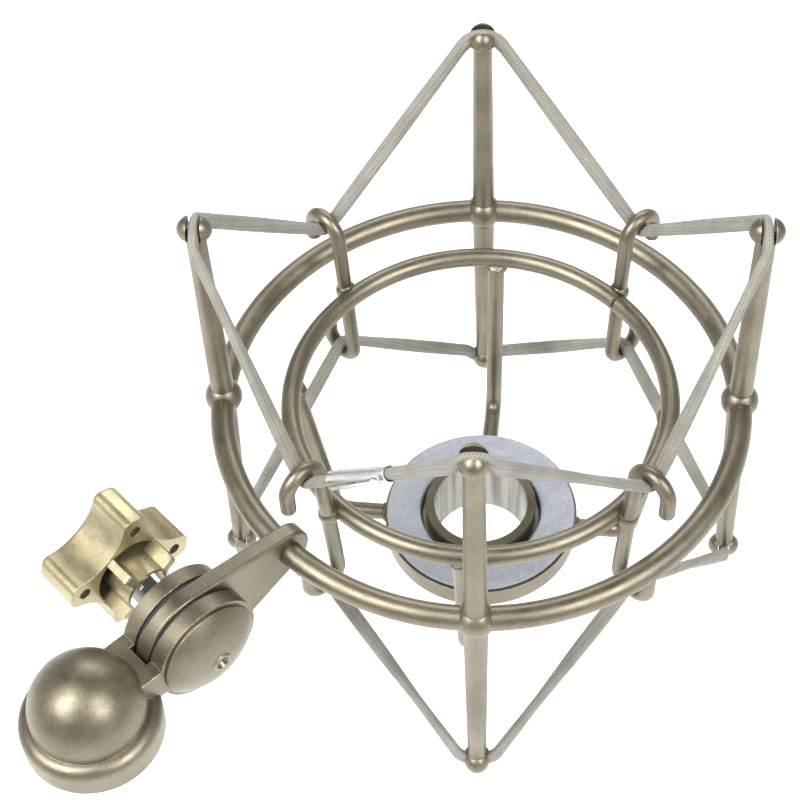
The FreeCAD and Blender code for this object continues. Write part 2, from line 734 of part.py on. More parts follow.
def make_seat_dish():
    """Turned cup at the foot of the cradle: a rim round the felt and a hub for the sleeve."""
    body = revolve("seat_dish", [
        ("dims.hub_bore", "dims.dish_bottom"),
        ("dims.hub_outer", "dims.dish_bottom"),
        ("dims.hub_outer", "dims.dish_hollow"),
        ("dims.dish_radius - 2 * dims.dish_wall", "dims.dish_hollow"),
        ("dims.dish_radius - 2 * dims.dish_wall", "dims.dish_bottom"),
        ("dims.dish_radius - 1", "dims.dish_bottom",
         ("dims.dish_radius - 1", "dims.dish_bottom + 1", 1, True)),
        ("dims.dish_radius", "dims.dish_bottom + 1"),
        ("dims.dish_radius", "dims.dish_top"),
        ("dims.dish_radius - dims.dish_wall", "dims.dish_top"),
        ("dims.dish_radius - dims.dish_wall", "dims.seat_floor"),
        ("dims.hub_bore", "dims.seat_floor"),
    ])
    return node(body, "seat_dish", in_cage())


def make_felt_ring():
    """Soft ring that the microphone's foot rests on."""
    body = revolve("felt_ring", [
        ("dims.felt_inner", "dims.seat_floor"),
        ("dims.felt_outer", "dims.seat_floor"),
        ("dims.felt_outer", "dims.felt_top"),
        ("dims.felt_inner", "dims.felt_top"),
    ])
    return node(body, "felt_ring", in_cage())


def make_thread_sleeve():
    """Threaded sleeve for the microphone's stem, turned by a fluted grip under the dish."""
    body = revolve("thread_sleeve", [
        ("dims.sleeve_bore", "dims.sleeve_bottom"),
        ("dims.grip_radius", "dims.sleeve_bottom"),
        ("dims.grip_radius", "dims.grip_top"),
        ("dims.sleeve_outer", "dims.grip_top"),
        ("dims.sleeve_outer", "dims.clip_bottom"),
        ("dims.groove_radius", "dims.clip_bottom"),
        ("dims.groove_radius", "dims.clip_top"),
        ("dims.sleeve_outer", "dims.clip_top"),
        ("dims.sleeve_outer", "dims.sleeve_top"),
        ("dims.sleeve_bore", "dims.sleeve_top"),
    ])
    sketch = sketch_on(body, "flute_profile", "XY_Plane")
    circle(sketch, "dims.grip_radius", 0, "dims.grip_flute")
    flute = cutter(body, "Pocket", sketch, "flute", Type="ThroughAll", SideType="Symmetric")
    pattern(body, flute, "flutes", 24)
    return node(body, "thread_sleeve", in_cage())


def make_retaining_clip():
    """Open spring ring in the sleeve's groove, above the dish's floor."""
    height = "dims.clip_top - dims.clip_bottom"
    disc = primitive("Cylinder", "clip_disc", (0, 0, "dims.clip_bottom"), turn(110),
                     Radius="dims.clip_outer", Height=height, Angle=320)
    bore = primitive("Cylinder", "clip_bore", (0, 0, "dims.clip_bottom - 1"),
                     Radius="dims.groove_radius", Height=4)
    return node(cut("clip", disc, bore), "retaining_clip", in_cage())


# ---------------------------------------------------------------- elastics
def rounded(corners, radii):
    """A closed wire through corners, with an arc of each corner's radius tangent to its sides."""
    arcs = []
    for number, (corner, radius) in enumerate(zip(corners, radii)):
        before = (corners[number - 1] - corner).normalize()
        after = (corners[(number + 1) % len(corners)] - corner).normalize()
        half = before.getAngle(after) / 2
        reach = radius / math.tan(half)
        crown = corner + (before + after).normalize() * (radius / math.sin(half) - radius)
        arcs.append((corner + before * reach, crown, corner + after * reach))
    edges = []
    for number, arc in enumerate(arcs):
        edges.append(Part.makeLine(arcs[number - 1][2], arc[0]))
        edges.append(Part.Arc(*arc).toShape())
    return Part.Wire(edges)


def polar(radius, azimuth, height, sideways=0):
    return turn(azimuth).multVec(Vector(radius, sideways, height))


def elastic_corners(level):
    """The loop's corners and bend radii: over a post's saddle, then under a crook."""
    sign = 1 if level == "upper" else -1
    lean = 0 if level == "upper" else math.radians(size("lower_lean"))
    length = size("%s_post" % level)
    bend = size("saddle_bend")
    drop = bend / math.sqrt(2)
    beside = drop + 1.25
    head_reach = size("ring_radius") + length * math.sin(lean)
    saddle = length * math.cos(lean) - size("saddle_drop")
    peak = saddle + bend * math.sqrt(2)
    crook = "crook" if level == "upper" else "foot_crook"
    crook_centre = Vector(size(crook + "_reach"), 0, size(crook + "_height"))
    corners = []
    radii = []
    for azimuth in QUARTERS.values():
        for aside in (-beside, 0, beside):
            corners.append(polar(head_reach, azimuth, sign * (peak - abs(aside)), aside))
            radii.append(size("elastic_turn") if aside else bend)
        next_side = polar(head_reach, 45, sign * (peak - beside), -beside)
        pull = Vector(next_side.x, 0, next_side.z) - crook_centre
        away = pull.Length - size(crook + "_radius")
        spread = math.asin(size("hook_bend") / math.hypot(away, next_side.y))
        half = math.atan2(abs(next_side.y), away) - spread
        under = size(crook + "_radius") - size("hook_bend") / math.sin(half)
        corner = crook_centre + pull.normalize() * under
        corners.append(turn(azimuth + 45).multVec(corner))
        radii.append(size("hook_bend"))
    return corners, radii


def make_elastic(level):
    """A closed loop of round cord, swept as one solid."""
    corners, radii = elastic_corners(level)
    wire = rounded(corners, radii)
    edge = wire.Edges[0]
    start = edge.valueAt(edge.FirstParameter)
    along = edge.tangentAt(edge.FirstParameter)
    section = Part.Wire(Part.makeCircle(size("elastic"), start, along))
    loop = wire.makePipeShell([section], True, False)
    thing = doc.addObject("Part::Feature", level + "_elastic_loop")
    thing.Shape = loop
    filled = loop.Volume / (math.pi * size("elastic") ** 2)
    print(level, "elastic length", round(wire.Length, 2), "volume over section", round(filled, 2))
    return node(thing, level + "_elastic", in_cage())


def make_crimp(level, step):
    """The metal sleeve that joins the elastic's two ends, on the straight run that leads
    from the front left hook one step on, to the front post, or back, to the left post."""
    corners = elastic_corners(level)[0]
    hook_number = 4 * list(CORNERS).index("front_left") + 3
    hook = corners[hook_number]
    along = (corners[hook_number + step] - hook).normalize()
    start = hook + along * size("crimp_start")
    outer = Part.makeCylinder(size("crimp_outer"), size("crimp_length"), start, along)
    inner = Part.makeCylinder(size("elastic"), size("crimp_length"), start, along)
    thing = doc.addObject("Part::Feature", level + "_crimp_sleeve")
    thing.Shape = outer.cut(inner)
    return node(thing, level + "_crimp", in_cage())


# ---------------------------------------------------------------- assembly
make_stand_adapter()
make_friction_washers()
make_domed_cap()
make_pivot_bolt()
make_clamp_collar()
make_star_knob()
make_swivel_arm()
for corner, azimuth in CORNERS.items():
    make_outer_ring(corner, azimuth)
for side, azimuth in QUARTERS.items():
    make_collar(side, azimuth)
    make_post(side, azimuth, "upper")
    make_post(side, azimuth, "lower")
make_inner_ring()
for corner, azimuth in CORNERS.items():
    make_hook_rod(corner, azimuth)
for side, azimuth in QUARTERS.items():
    make_support_rod(side, azimuth)
make_seat_dish()
make_felt_ring()
make_thread_sleeve()
make_retaining_clip()
for level, step in (("upper", 1), ("lower", -1)):
    make_elastic(level)
    make_crimp(level, step)

doc.recompute()

# ---------------------------------------------------------------- checks and export
for thing in doc.Objects:
    if "Invalid" in thing.State or "Error" in thing.State:
        raise RuntimeError("%s: %s" % (thing.Label, thing.State))
for thing in NODES:
    if thing.Shape.isNull() or not thing.Shape.isValid():
        raise RuntimeError(thing.Label + " has no valid shape")

os.makedirs("parts", exist_ok=True)
for thing in NODES:
    thing.Shape.exportStep("parts/" + thing.Label + ".step")
    print(thing.Label, round(thing.Shape.Volume, 1), "mm3")
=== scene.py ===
"""Looks for the spider shock mount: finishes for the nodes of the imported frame, pieces in
place of its elastics, crimps and felt, and the felt's fibres, the welds and the ring's seam."""
import json
import math
import random

import bmesh
import bpy
from mathutils import Matrix, Vector, noise


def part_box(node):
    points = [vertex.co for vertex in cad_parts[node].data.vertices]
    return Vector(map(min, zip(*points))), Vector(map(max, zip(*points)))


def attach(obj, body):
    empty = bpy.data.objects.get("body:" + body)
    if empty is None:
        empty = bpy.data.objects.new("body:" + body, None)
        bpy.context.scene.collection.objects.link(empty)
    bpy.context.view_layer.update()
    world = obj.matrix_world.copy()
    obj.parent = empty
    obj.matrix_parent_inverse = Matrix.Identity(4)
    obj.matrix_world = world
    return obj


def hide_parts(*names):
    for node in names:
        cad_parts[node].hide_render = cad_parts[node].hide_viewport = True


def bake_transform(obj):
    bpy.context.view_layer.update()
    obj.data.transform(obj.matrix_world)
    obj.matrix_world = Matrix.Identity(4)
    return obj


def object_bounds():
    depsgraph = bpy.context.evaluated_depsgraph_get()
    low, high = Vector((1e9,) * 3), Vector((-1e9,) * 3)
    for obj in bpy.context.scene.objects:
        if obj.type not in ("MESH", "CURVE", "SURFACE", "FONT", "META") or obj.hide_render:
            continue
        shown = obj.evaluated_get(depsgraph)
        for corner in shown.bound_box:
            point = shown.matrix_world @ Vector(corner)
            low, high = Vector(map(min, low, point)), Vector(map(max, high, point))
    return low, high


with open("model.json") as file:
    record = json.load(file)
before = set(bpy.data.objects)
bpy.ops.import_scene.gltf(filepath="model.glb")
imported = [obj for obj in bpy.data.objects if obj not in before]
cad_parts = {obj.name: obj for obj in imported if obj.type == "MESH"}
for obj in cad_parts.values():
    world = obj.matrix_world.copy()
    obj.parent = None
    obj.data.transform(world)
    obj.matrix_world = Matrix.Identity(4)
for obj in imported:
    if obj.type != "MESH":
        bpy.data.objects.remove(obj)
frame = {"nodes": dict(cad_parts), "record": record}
CAD_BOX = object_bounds()

MM = 0.001
UP = Vector((0, 0, 1))
SLOTS = {part["node"]: part["material_slot"] for part in frame["record"]["subparts"]}


# ---------------------------------------------------------------- places, from the frame
CAGE = sum(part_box("inner_ring"), Vector()) / 2    # the cage's axis, in the rings' plane
QUARTERS = {"right": 0, "back": 90, "left": 180, "front": 270}
CORNERS = {"back_right": 45, "back_left": 135, "front_left": 225, "front_right": 315}
HEAD_RADIAL = 4.15 * MM                           # half sizes of a post's head
HEAD_TALL = 3.15 * MM
SADDLE_DROP = 4.6 * MM            # from a head's centre to the centre of its saddle's arc
CROOKS = {                        # a crook's centre line: reach, height and radius
    "upper": (57.2 * MM, 17.7 * MM, 5.0 * MM),
    "lower": (54.5 * MM, -23.0 * MM, 4.7 * MM),
}
SIGN = {"upper": 1, "lower": -1}


def around(reach, degrees, height, sideways=0):
    """A point in the row frame from its reach, bearing and height in the cage."""
    return CAGE + Matrix.Rotation(math.radians(degrees), 3, "Z") @ Vector((reach, sideways, height))


def head_centre(level):
    """Reach and height of the post heads at one level."""
    low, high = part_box(level + "_post_right")
    reach = high.x - CAGE.x - HEAD_RADIAL
    end = high.z if level == "upper" else low.z
    return reach, end - SIGN[level] * HEAD_TALL - CAGE.z


# ---------------------------------------------------------------- camera
EYE = Vector((94.42, -210.04, 393.08)) * MM
YAW, PITCH, ROLL = -0.089, 0.904, -0.061
FOCAL_PIXELS = 1910.04
FRAME_PIXELS = 800
SENSOR_WIDTH = 36


def make_camera():
    """Placed where the two rings look as they do in the photo."""
    data = bpy.data.cameras.new("camera")
    data.sensor_width = SENSOR_WIDTH
    data.lens = SENSOR_WIDTH * FOCAL_PIXELS / FRAME_PIXELS
    data.clip_start = 0.01
    camera = bpy.data.objects.new("camera", data)
    bpy.context.scene.collection.objects.link(camera)
    outward = Vector((math.sin(YAW), math.cos(YAW), 0))
    ahead = math.cos(PITCH) * outward - math.sin(PITCH) * UP
    level = Vector((math.cos(YAW), -math.sin(YAW), 0))
    over = level.cross(ahead)
    right = math.cos(ROLL) * level + math.sin(ROLL) * over
    top = -math.sin(ROLL) * level + math.cos(ROLL) * over
    turn = Matrix((right, top, -ahead)).transposed()
    camera.matrix_world = Matrix.Translation(EYE) @ turn.to_4x4()
    bpy.context.scene.camera = camera


# ---------------------------------------------------------------- material nodes
class Shading:
    """A material under construction. Sizes are in millimetres on the object."""

    def __init__(self, name):
        self.material = bpy.data.materials.new(name)
        self.material.use_nodes = True
        self.tree = self.material.node_tree
        self.shader = self.tree.nodes["Principled BSDF"]
        self.place = self.tree.nodes.new("ShaderNodeTexCoord").outputs["Object"]

    def new(self, kind, **inputs):
        """A node with these inputs, each a value or a socket."""
        node = self.tree.nodes.new(kind)
        for socket, value in inputs.items():
            self.feed(node.inputs[socket.replace("_", " ")], value)
        return node

    def feed(self, socket, value):
        if isinstance(value, bpy.types.NodeSocket):
            self.tree.links.new(value, socket)
        else:
            socket.default_value = value

    def noise(self, size_mm, detail, stretch=None):
        """Noise whose blotches are about size_mm across, longer where stretch is under 1."""
        vector = self.place
        if stretch:
            scaled = self.new("ShaderNodeMapping", Vector=vector)
            scaled.inputs["Scale"].default_value = stretch
            vector = scaled.outputs["Vector"]
        scale = 1 / (size_mm * MM)
        node = self.new("ShaderNodeTexNoise", Vector=vector, Scale=scale, Detail=detail)
        return node.outputs["Fac"]

    def flakes(self, size_mm):
        """A random value for each flake of about size_mm."""
        node = self.new("ShaderNodeTexVoronoi", Vector=self.place, Scale=1 / (size_mm * MM))
        split = self.new("ShaderNodeSeparateColor", Color=node.outputs["Color"])
        return split.outputs["Red"]

    def math(self, operation, first, second=0.0, third=0.0):
        """One step of arithmetic on values or sockets."""
        node = self.tree.nodes.new("ShaderNodeMath")
        node.operation = operation
        for socket, value in zip(node.inputs, (first, second, third)):
            self.feed(socket, value)
        return node.outputs["Value"]

    def spread(self, value, low, high, start=0.0, finish=1.0):
        """Maps start..finish onto low..high, held at the ends."""
        node = self.new("ShaderNodeMapRange", Value=value, From_Min=start, From_Max=finish,
                        To_Min=low, To_Max=high)
        return node.outputs["Result"]

    def mix(self, factor, first, second):
        """A blend of two colours, each a socket or an (r, g, b)."""
        node = self.tree.nodes.new("ShaderNodeMix")
        node.data_type = "RGBA"
        self.feed(node.inputs["Factor"], factor)
        for socket, colour in zip(node.inputs[6:8], (first, second)):
            is_socket = isinstance(colour, bpy.types.NodeSocket)
            self.feed(socket, colour if is_socket else (*colour, 1))
        return node.outputs[2]

    def bump(self, height, depth_mm, normal=None, strength=1.0):
        """The normal of a relief depth_mm deep, on top of another normal."""
        node = self.new("ShaderNodeBump", Height=height, Distance=depth_mm * MM, Strength=strength)
        if normal:
            self.feed(node.inputs["Normal"], normal)
        return node.outputs["Normal"]

    def soft_edges(self, radius_mm):
        """Shades sharp corners as if rounded by radius_mm."""
        node = self.new("ShaderNodeBevel", Radius=radius_mm * MM)
        node.samples = 6
        return node.outputs["Normal"]

    def edge_wear(self, radius_mm):
        """From 0 to 1 along sharp outer corners, broken up by noise."""
        corner = self.tree.nodes.new("ShaderNodeVectorMath")
        corner.operation = "DOT_PRODUCT"
        self.feed(corner.inputs[0], self.soft_edges(radius_mm))
        self.feed(corner.inputs[1], self.tree.nodes.new("ShaderNodeNewGeometry").outputs["Normal"])
        edge = self.spread(corner.outputs["Value"], 1, 0, 0.80, 0.97)
        return self.math("MULTIPLY", edge, self.spread(self.noise(0.9, 4), 0.15, 1, 0.40, 0.60))

    def finish(self, **inputs):
        """The material, with these inputs of its shader set."""
        for socket, value in inputs.items():
            self.feed(self.shader.inputs[socket.replace("_", " ")], value)
        return self.material


WORN_METAL = (0.62, 0.59, 0.50)
BORE_RADIUS = 12.75 * MM                  # inside it the sleeve is bare
BARE_METAL = ((0.15, 0.14, 0.125), (0.32, 0.31, 0.28))
FIBRE_BLACKS = ((0.012, 0.012, 0.013), (0.05, 0.05, 0.052))
FELT_GREYS = ((0.285, 0.305, 0.348), (0.36, 0.378, 0.428))
# the colour of the painted highlight on the felt's raised fibres
FELT_FIBRE_HIGHLIGHT = (0.52, 0.54, 0.585)
ELASTIC_GREYS = ((0.262, 0.249, 0.211), (0.352, 0.336, 0.290))
# the colour of the painted shade in the braid's grooves
BRAID_GAP_SHADE = (0.055, 0.048, 0.038)
CRIMP_GREYS = ((0.74, 0.74, 0.75), (0.62, 0.62, 0.63))
CHAMPAGNE = ((0.242, 0.215, 0.156), (0.165, 0.143, 0.098))
BRASSY = ((0.470, 0.415, 0.262), (0.355, 0.300, 0.170))
BURNT = ((0.055, 0.046, 0.034), (0.025, 0.021, 0.016))
BOLT_GREY = (0.31, 0.285, 0.23)
CHROME = (0.83, 0.83, 0.84)
YARN = 0.62                               # mm of cord for one yarn of its braid
BRAID_BAND = 0.92                         # mm, the width of one slanting band
BRAID_BANDS = 10                          # bands round the cord


def satin_paint(name, light, dark, metallic=0.9, rough=(0.38, 0.50)):
    """Metallic paint: drifting tone, fine flakes, orange peel, a satin grain and faint dust."""
    s = Shading(name)
    drift = s.spread(s.noise(14, 3), 0, 1, 0.32, 0.68)
    tone = s.mix(drift, dark, light)
    flake = s.spread(s.flakes(0.16), 0.74, 1.26)
    glint = s.new("ShaderNodeVectorMath")
    glint.operation = "SCALE"
    s.feed(glint.inputs[0], tone)
    s.feed(glint.inputs["Scale"], flake)
    dust = s.spread(s.noise(2.2, 4), 0, 0.35, 0.66, 0.80)
    worn = s.edge_wear(0.30)
    colour = s.mix(dust, glint.outputs["Vector"], [0.75 * c + 0.1 for c in light])
    colour = s.mix(worn, colour, WORN_METAL)
    roughness = s.spread(s.noise(3.5, 3), *rough, 0.3, 0.7)
    roughness = s.math("MULTIPLY_ADD", worn, -0.12, roughness)
    peel = s.bump(s.noise(1.3, 1), 0.010, s.soft_edges(0.22))
    grain = s.bump(s.noise(0.14, 2), 0.006, peel, 0.7)
    return s.finish(Base_Color=colour, Metallic=metallic, Roughness=roughness, Normal=grain,
                    Coat_Weight=0.30, Coat_Roughness=0.33)


def sleeve_metal(name, light, dark):
    """Paint outside, and in the bore a bare satin metal, banded, with fine turning lines."""
    s = Shading(name)
    axis = s.new("ShaderNodeVectorMath")
    axis.operation = "SUBTRACT"
    s.feed(axis.inputs[0], s.place)
    axis.inputs[1].default_value = CAGE
    split = s.new("ShaderNodeSeparateXYZ", Vector=axis.outputs["Vector"])
    squares = [s.math("POWER", split.outputs[way], 2.0) for way in "XY"]
    inside = s.math("LESS_THAN", s.math("SQRT", s.math("ADD", *squares)), BORE_RADIUS)
    drift = s.spread(s.noise(9, 3), 0, 1, 0.35, 0.65)
    paint = s.mix(drift, dark, light)
    bands = s.spread(s.noise(2.4, 2, stretch=(1.0, 1.0, 0.06)), 0, 1, 0.36, 0.64)
    bare = s.mix(bands, *BARE_METAL)
    lines = s.noise(0.35, 2, stretch=(0.04, 0.04, 1.0))
    peel = s.bump(s.noise(1.3, 1), 0.010, s.soft_edges(0.2))
    turned = s.bump(lines, 0.012, peel, 0.6)
    roughness = s.spread(s.math("MULTIPLY_ADD", inside, -0.18, lines), 0.24, 0.42)
    return s.finish(Base_Color=s.mix(inside, paint, bare), Metallic=0.95, Roughness=roughness,
                    Normal=turned)


def turned_steel(name, colour, rough, line_depth):
    """Machined metal with fine tool lines and smudges."""
    s = Shading(name)
    smudge = s.noise(4, 4)
    tone = s.mix(s.spread(smudge, 0, 1, 0.3, 0.7), [c * 0.86 for c in colour], colour)
    roughness = s.spread(smudge, rough * 0.7, rough * 1.5, 0.3, 0.7)
    lines = s.bump(s.noise(0.2, 2, stretch=(1.0, 0.15, 1.0)), line_depth, s.soft_edges(0.12))
    return s.finish(Base_Color=tone, Metallic=1.0, Roughness=roughness, Normal=lines)


def fibre_black(name):
    """Black washer fibre, finely speckled."""
    s = Shading(name)
    speck = s.noise(0.25, 3)
    tone = s.mix(s.spread(speck, 0, 1, 0.4, 0.75), *FIBRE_BLACKS)
    return s.finish(Base_Color=tone, Roughness=s.spread(speck, 0.6, 0.85),
                    Normal=s.bump(speck, 0.03))


def felt_wool(name):
    """Pressed felt: pale blue-grey, mottled, with fine crossing fibres, whose raised strands are
    painted paler as a painted highlight.
    """
    s = Shading(name)
    cloud = s.spread(s.noise(3.0, 4), 0, 1, 0.32, 0.68)
    tone = s.mix(cloud, *FELT_GREYS)
    warp = s.noise(1.1, 2)
    strands = [s.math("ABSOLUTE", s.math("SUBTRACT", s.noise(size, 4, stretch=stretch), 0.5))
               for size, stretch in ((0.45, (1.0, 0.35, 1.0)), (0.4, (0.3, 1.0, 1.0)))]
    fibre = s.math("MINIMUM", *strands)
    # painted highlight: the raised fibre strands are painted paler towards the fibre colour
    lit = s.mix(s.spread(fibre, 0.5, 0, 0.0, 0.06), tone, FELT_FIBRE_HIGHLIGHT)
    height = s.math("MULTIPLY_ADD", warp, 0.6, s.math("MULTIPLY", fibre, -2.5))
    return s.finish(Base_Color=lit, Roughness=0.95, Sheen_Weight=0.35, Sheen_Roughness=0.5,
                    Normal=s.bump(height, 0.16))


def braided_cord(name):
    """Braided cover of the elastic: slanting yarns that change hand in each narrow band, with
    painted shade in the grooves between yarns and between bands.
    """
    s = Shading(name)
    weave = s.new("ShaderNodeUVMap")
    weave.uv_map = "weave"
    split = s.new("ShaderNodeSeparateXYZ", Vector=weave.outputs["UV"])
    along = s.math("DIVIDE", split.outputs["X"], YARN)
    across = s.math("DIVIDE", s.math("PINGPONG", split.outputs["Y"], BRAID_BAND), BRAID_BAND)
    slant = s.math("MULTIPLY", s.math("MULTIPLY_ADD", across, 1.1, along), 2 * math.pi)
    yarn = s.math("MULTIPLY_ADD", s.math("SINE", slant), 0.5, 0.5)
    edge = s.math("MULTIPLY", s.math("ABSOLUTE", s.math("SUBTRACT", across, 0.5)), 2.0)
    gap = s.spread(edge, 0, 1, 0.72, 1.0)
    drift = s.spread(s.noise(6, 3), 0, 1, 0.3, 0.7)
    worn = s.mix(drift, *ELASTIC_GREYS)
    # painted shade: the colour darkens towards the gap colour in the yarns' valleys and in the gaps
    # between bands, where the relief is low
    shade = s.math("MULTIPLY", s.spread(yarn, 0.5, 1.0, 0.1, 0.7), s.spread(gap, 1.0, 0.66))
    colour = s.mix(s.math("SUBTRACT", 1.0, shade), worn, BRAID_GAP_SHADE)
    fuzz = s.noise(0.12, 3)
    height = s.math("MULTIPLY_ADD", yarn, 0.8, s.math("MULTIPLY", fuzz, 0.35))
    height = s.math("MULTIPLY_ADD", gap, -0.5, height)
    return s.finish(Base_Color=colour, Roughness=0.78, Sheen_Weight=0.25, Sheen_Roughness=0.4,
                    Normal=s.bump(height, 0.09))


def pressed_metal(name):
    """Bright crimped tube: long draw lines and small scuffs."""
    s = Shading(name)
    scuff = s.spread(s.noise(5, 2), 0, 1, 0.40, 0.80)
    tone = s.mix(scuff, *CRIMP_GREYS)
    return s.finish(Base_Color=tone, Metallic=1.0, Roughness=s.spread(scuff, 0.24, 0.38),
                    Normal=s.bump(s.noise(0.8, 2), 0.008, strength=0.4))


def make_materials():
    """The material of each slot, by the slot's name."""
    return {
        "champagne_paint": satin_paint("champagne_paint", *CHAMPAGNE),
        "knob_paint": satin_paint("knob_paint", *BRASSY, metallic=0.85, rough=(0.34, 0.46)),
        "sleeve_paint": sleeve_metal("sleeve_paint", *CHAMPAGNE),
        "bolt_steel": turned_steel("bolt_steel", BOLT_GREY, 0.40, 0.012),
        "bright_chrome": turned_steel("bright_chrome", CHROME, 0.07, 0.002),
        "black_fibre": fibre_black("black_fibre"),
        "braided_elastic": braided_cord("braided_elastic"),
        "crimp_metal": pressed_metal("crimp_metal"),
        "grey_felt": felt_wool("grey_felt"),
    }


# ---------------------------------------------------------------- mesh helpers
def add_piece(mesh, slot):
    """A new smooth piece from a mesh, named as the mesh is, with its slot's material."""
    mesh.polygons.foreach_set("use_smooth", [True] * len(mesh.polygons))
    mesh.materials.append(MATERIALS[slot])
    piece = bpy.data.objects.new(mesh.name, mesh)
    bpy.context.scene.collection.objects.link(piece)
    return piece


def add_mesh(name, points, faces, slot):
    """A new piece from its points and faces."""
    mesh = bpy.data.meshes.new(name)
    mesh.from_pydata(points, [], faces)
    mesh.validate()
    return add_piece(mesh, slot)


def smoothstep(value):
    """From 0 to 1 with level ends, held outside them."""
    value = min(max(value, 0.0), 1.0)
    return value * value * (3 - 2 * value)


def ring_faces(rings, sides, closed):
    """Quads of a tube of rings; a closed tube's last ring joins its first."""
    faces = []
    for ring in range(rings if closed else rings - 1):
        here = ring * sides
        there = (ring + 1) % rings * sides
        for spot in range(sides):
            after = (spot + 1) % sides
            faces.append((here + spot, here + after, there + after, there + spot))
    return faces


# ---------------------------------------------------------------- elastics
TAPE = (1.85 * MM, 1.22 * MM)             # half width and half thickness on a free run
TAPE_AT_CROOK = (1.75 * MM, 1.18 * MM)
TAPE_IN_CRIMP = (1.45 * MM, 1.25 * MM)
SADDLE_RADIUS = 3.3 * MM
HOOK_ROD = 1.9 * MM                       # the rod's radius
CLEAR = 0.05 * MM                         # between the tape and what it bears on
TURN_RADIUS = 6 * MM                      # bend where the tape leaves a post
TURN_BESIDE = 1.25 * MM                   # and how far past the saddle's arc that is
UPRIGHT_RUN = 5 * MM                      # of tape stands on edge beside a saddle
FLAT_RUN = 4 * MM                         # of tape lies flat beside a hook
PINCH_RUN, PINCH_EASE = 3.5 * MM, 5 * MM          # where a hook narrows the tape
SQUEEZE_RUN, SQUEEZE_EASE = 0.2 * MM, 3.5 * MM    # and where the crimp does
STEP = 0.35 * MM                          # between points of the centre line
TAPE_SIDES = 36
BOXINESS = 2.5                            # exponent of the tape's rounded section
RIB_PLACE, RIB_DEPTH = 0.37, 0.20 * MM    # grooves beside a face's middle rib
RIB_WIDTH = 0.10
CRIMP_START, CRIMP_LENGTH = 12.6 * MM, 24 * MM


def tape_corners(level):
    """The loop's corners and bend radii: over each saddle, then under each crook."""
    sign = SIGN[level]
    reach, height = head_centre(level)
    bend = SADDLE_RADIUS + TAPE[0] + CLEAR
    beside = bend / math.sqrt(2) + TURN_BESIDE
    peak = abs(height) - SADDLE_DROP + bend * math.sqrt(2)
    crook_reach, crook_height, crook_radius = CROOKS[level]
    wrap = HOOK_ROD + TAPE_AT_CROOK[1] + CLEAR
    next_side = Vector((reach, -beside, sign * (peak - beside)))
    next_side = Matrix.Rotation(math.radians(45), 3, "Z") @ next_side
    pull = Vector((next_side.x - crook_reach, 0, next_side.z - crook_height))
    away = pull.length - crook_radius
    half = math.atan2(abs(next_side.y), away) - math.asin(wrap / math.hypot(away, next_side.y))
    hang = crook_radius - wrap / math.sin(half)
    crook = Vector((crook_reach, 0, crook_height)) + pull.normalized() * hang
    corners, radii = [], []
    for bearing in QUARTERS.values():
        for aside in (-beside, 0, beside):
            corners.append(around(reach, bearing, sign * (peak - abs(aside)), aside))
            radii.append(TURN_RADIUS if aside else bend)
        corners.append(around(crook.x, bearing + 45, crook.z))
        radii.append(wrap)
    return corners, radii


def rounded_path(corners, radii):
    """Points about STEP apart along a closed path of runs and tangent arcs, and for each
    corner the number of the point in the middle of its arc."""
    arcs = []
    for number, (corner, radius) in enumerate(zip(corners, radii)):
        before = (corners[number - 1] - corner).normalized()
        after = (corners[(number + 1) % len(corners)] - corner).normalized()
        half = before.angle(after) / 2
        reach = radius / math.tan(half)
        centre = corner + (before + after).normalized() * (radius / math.sin(half))
        arcs.append((corner + before * reach, centre, corner + after * reach, math.pi - 2 * half))
    points, middles = [], []
    for number, (start, centre, finish, sweep) in enumerate(arcs):
        run_start = arcs[number - 1][2]
        count = max(1, round((start - run_start).length / STEP))
        points += [run_start.lerp(start, k / count) for k in range(count)]
        radius = (start - centre).length
        count = max(4, round(radius * sweep / STEP))
        middles.append(len(points) + count // 2)
        first, last = (start - centre).normalized(), (finish - centre).normalized()
        points += [centre + radius * first.slerp(last, k / count) for k in range(count)]
    return points, middles


def distances(points):
    """Distance along a closed path at each point, and the whole length."""
    total, along = 0.0, []
    for here, after in zip(points, points[1:] + points[:1]):
        along.append(total)
        total += (after - here).length
    return along, total


def loop_gap(one, other, length):
    """The shorter way round a closed path between two distances along it."""
    gap = abs(one - other) % length
    return min(gap, length - gap)


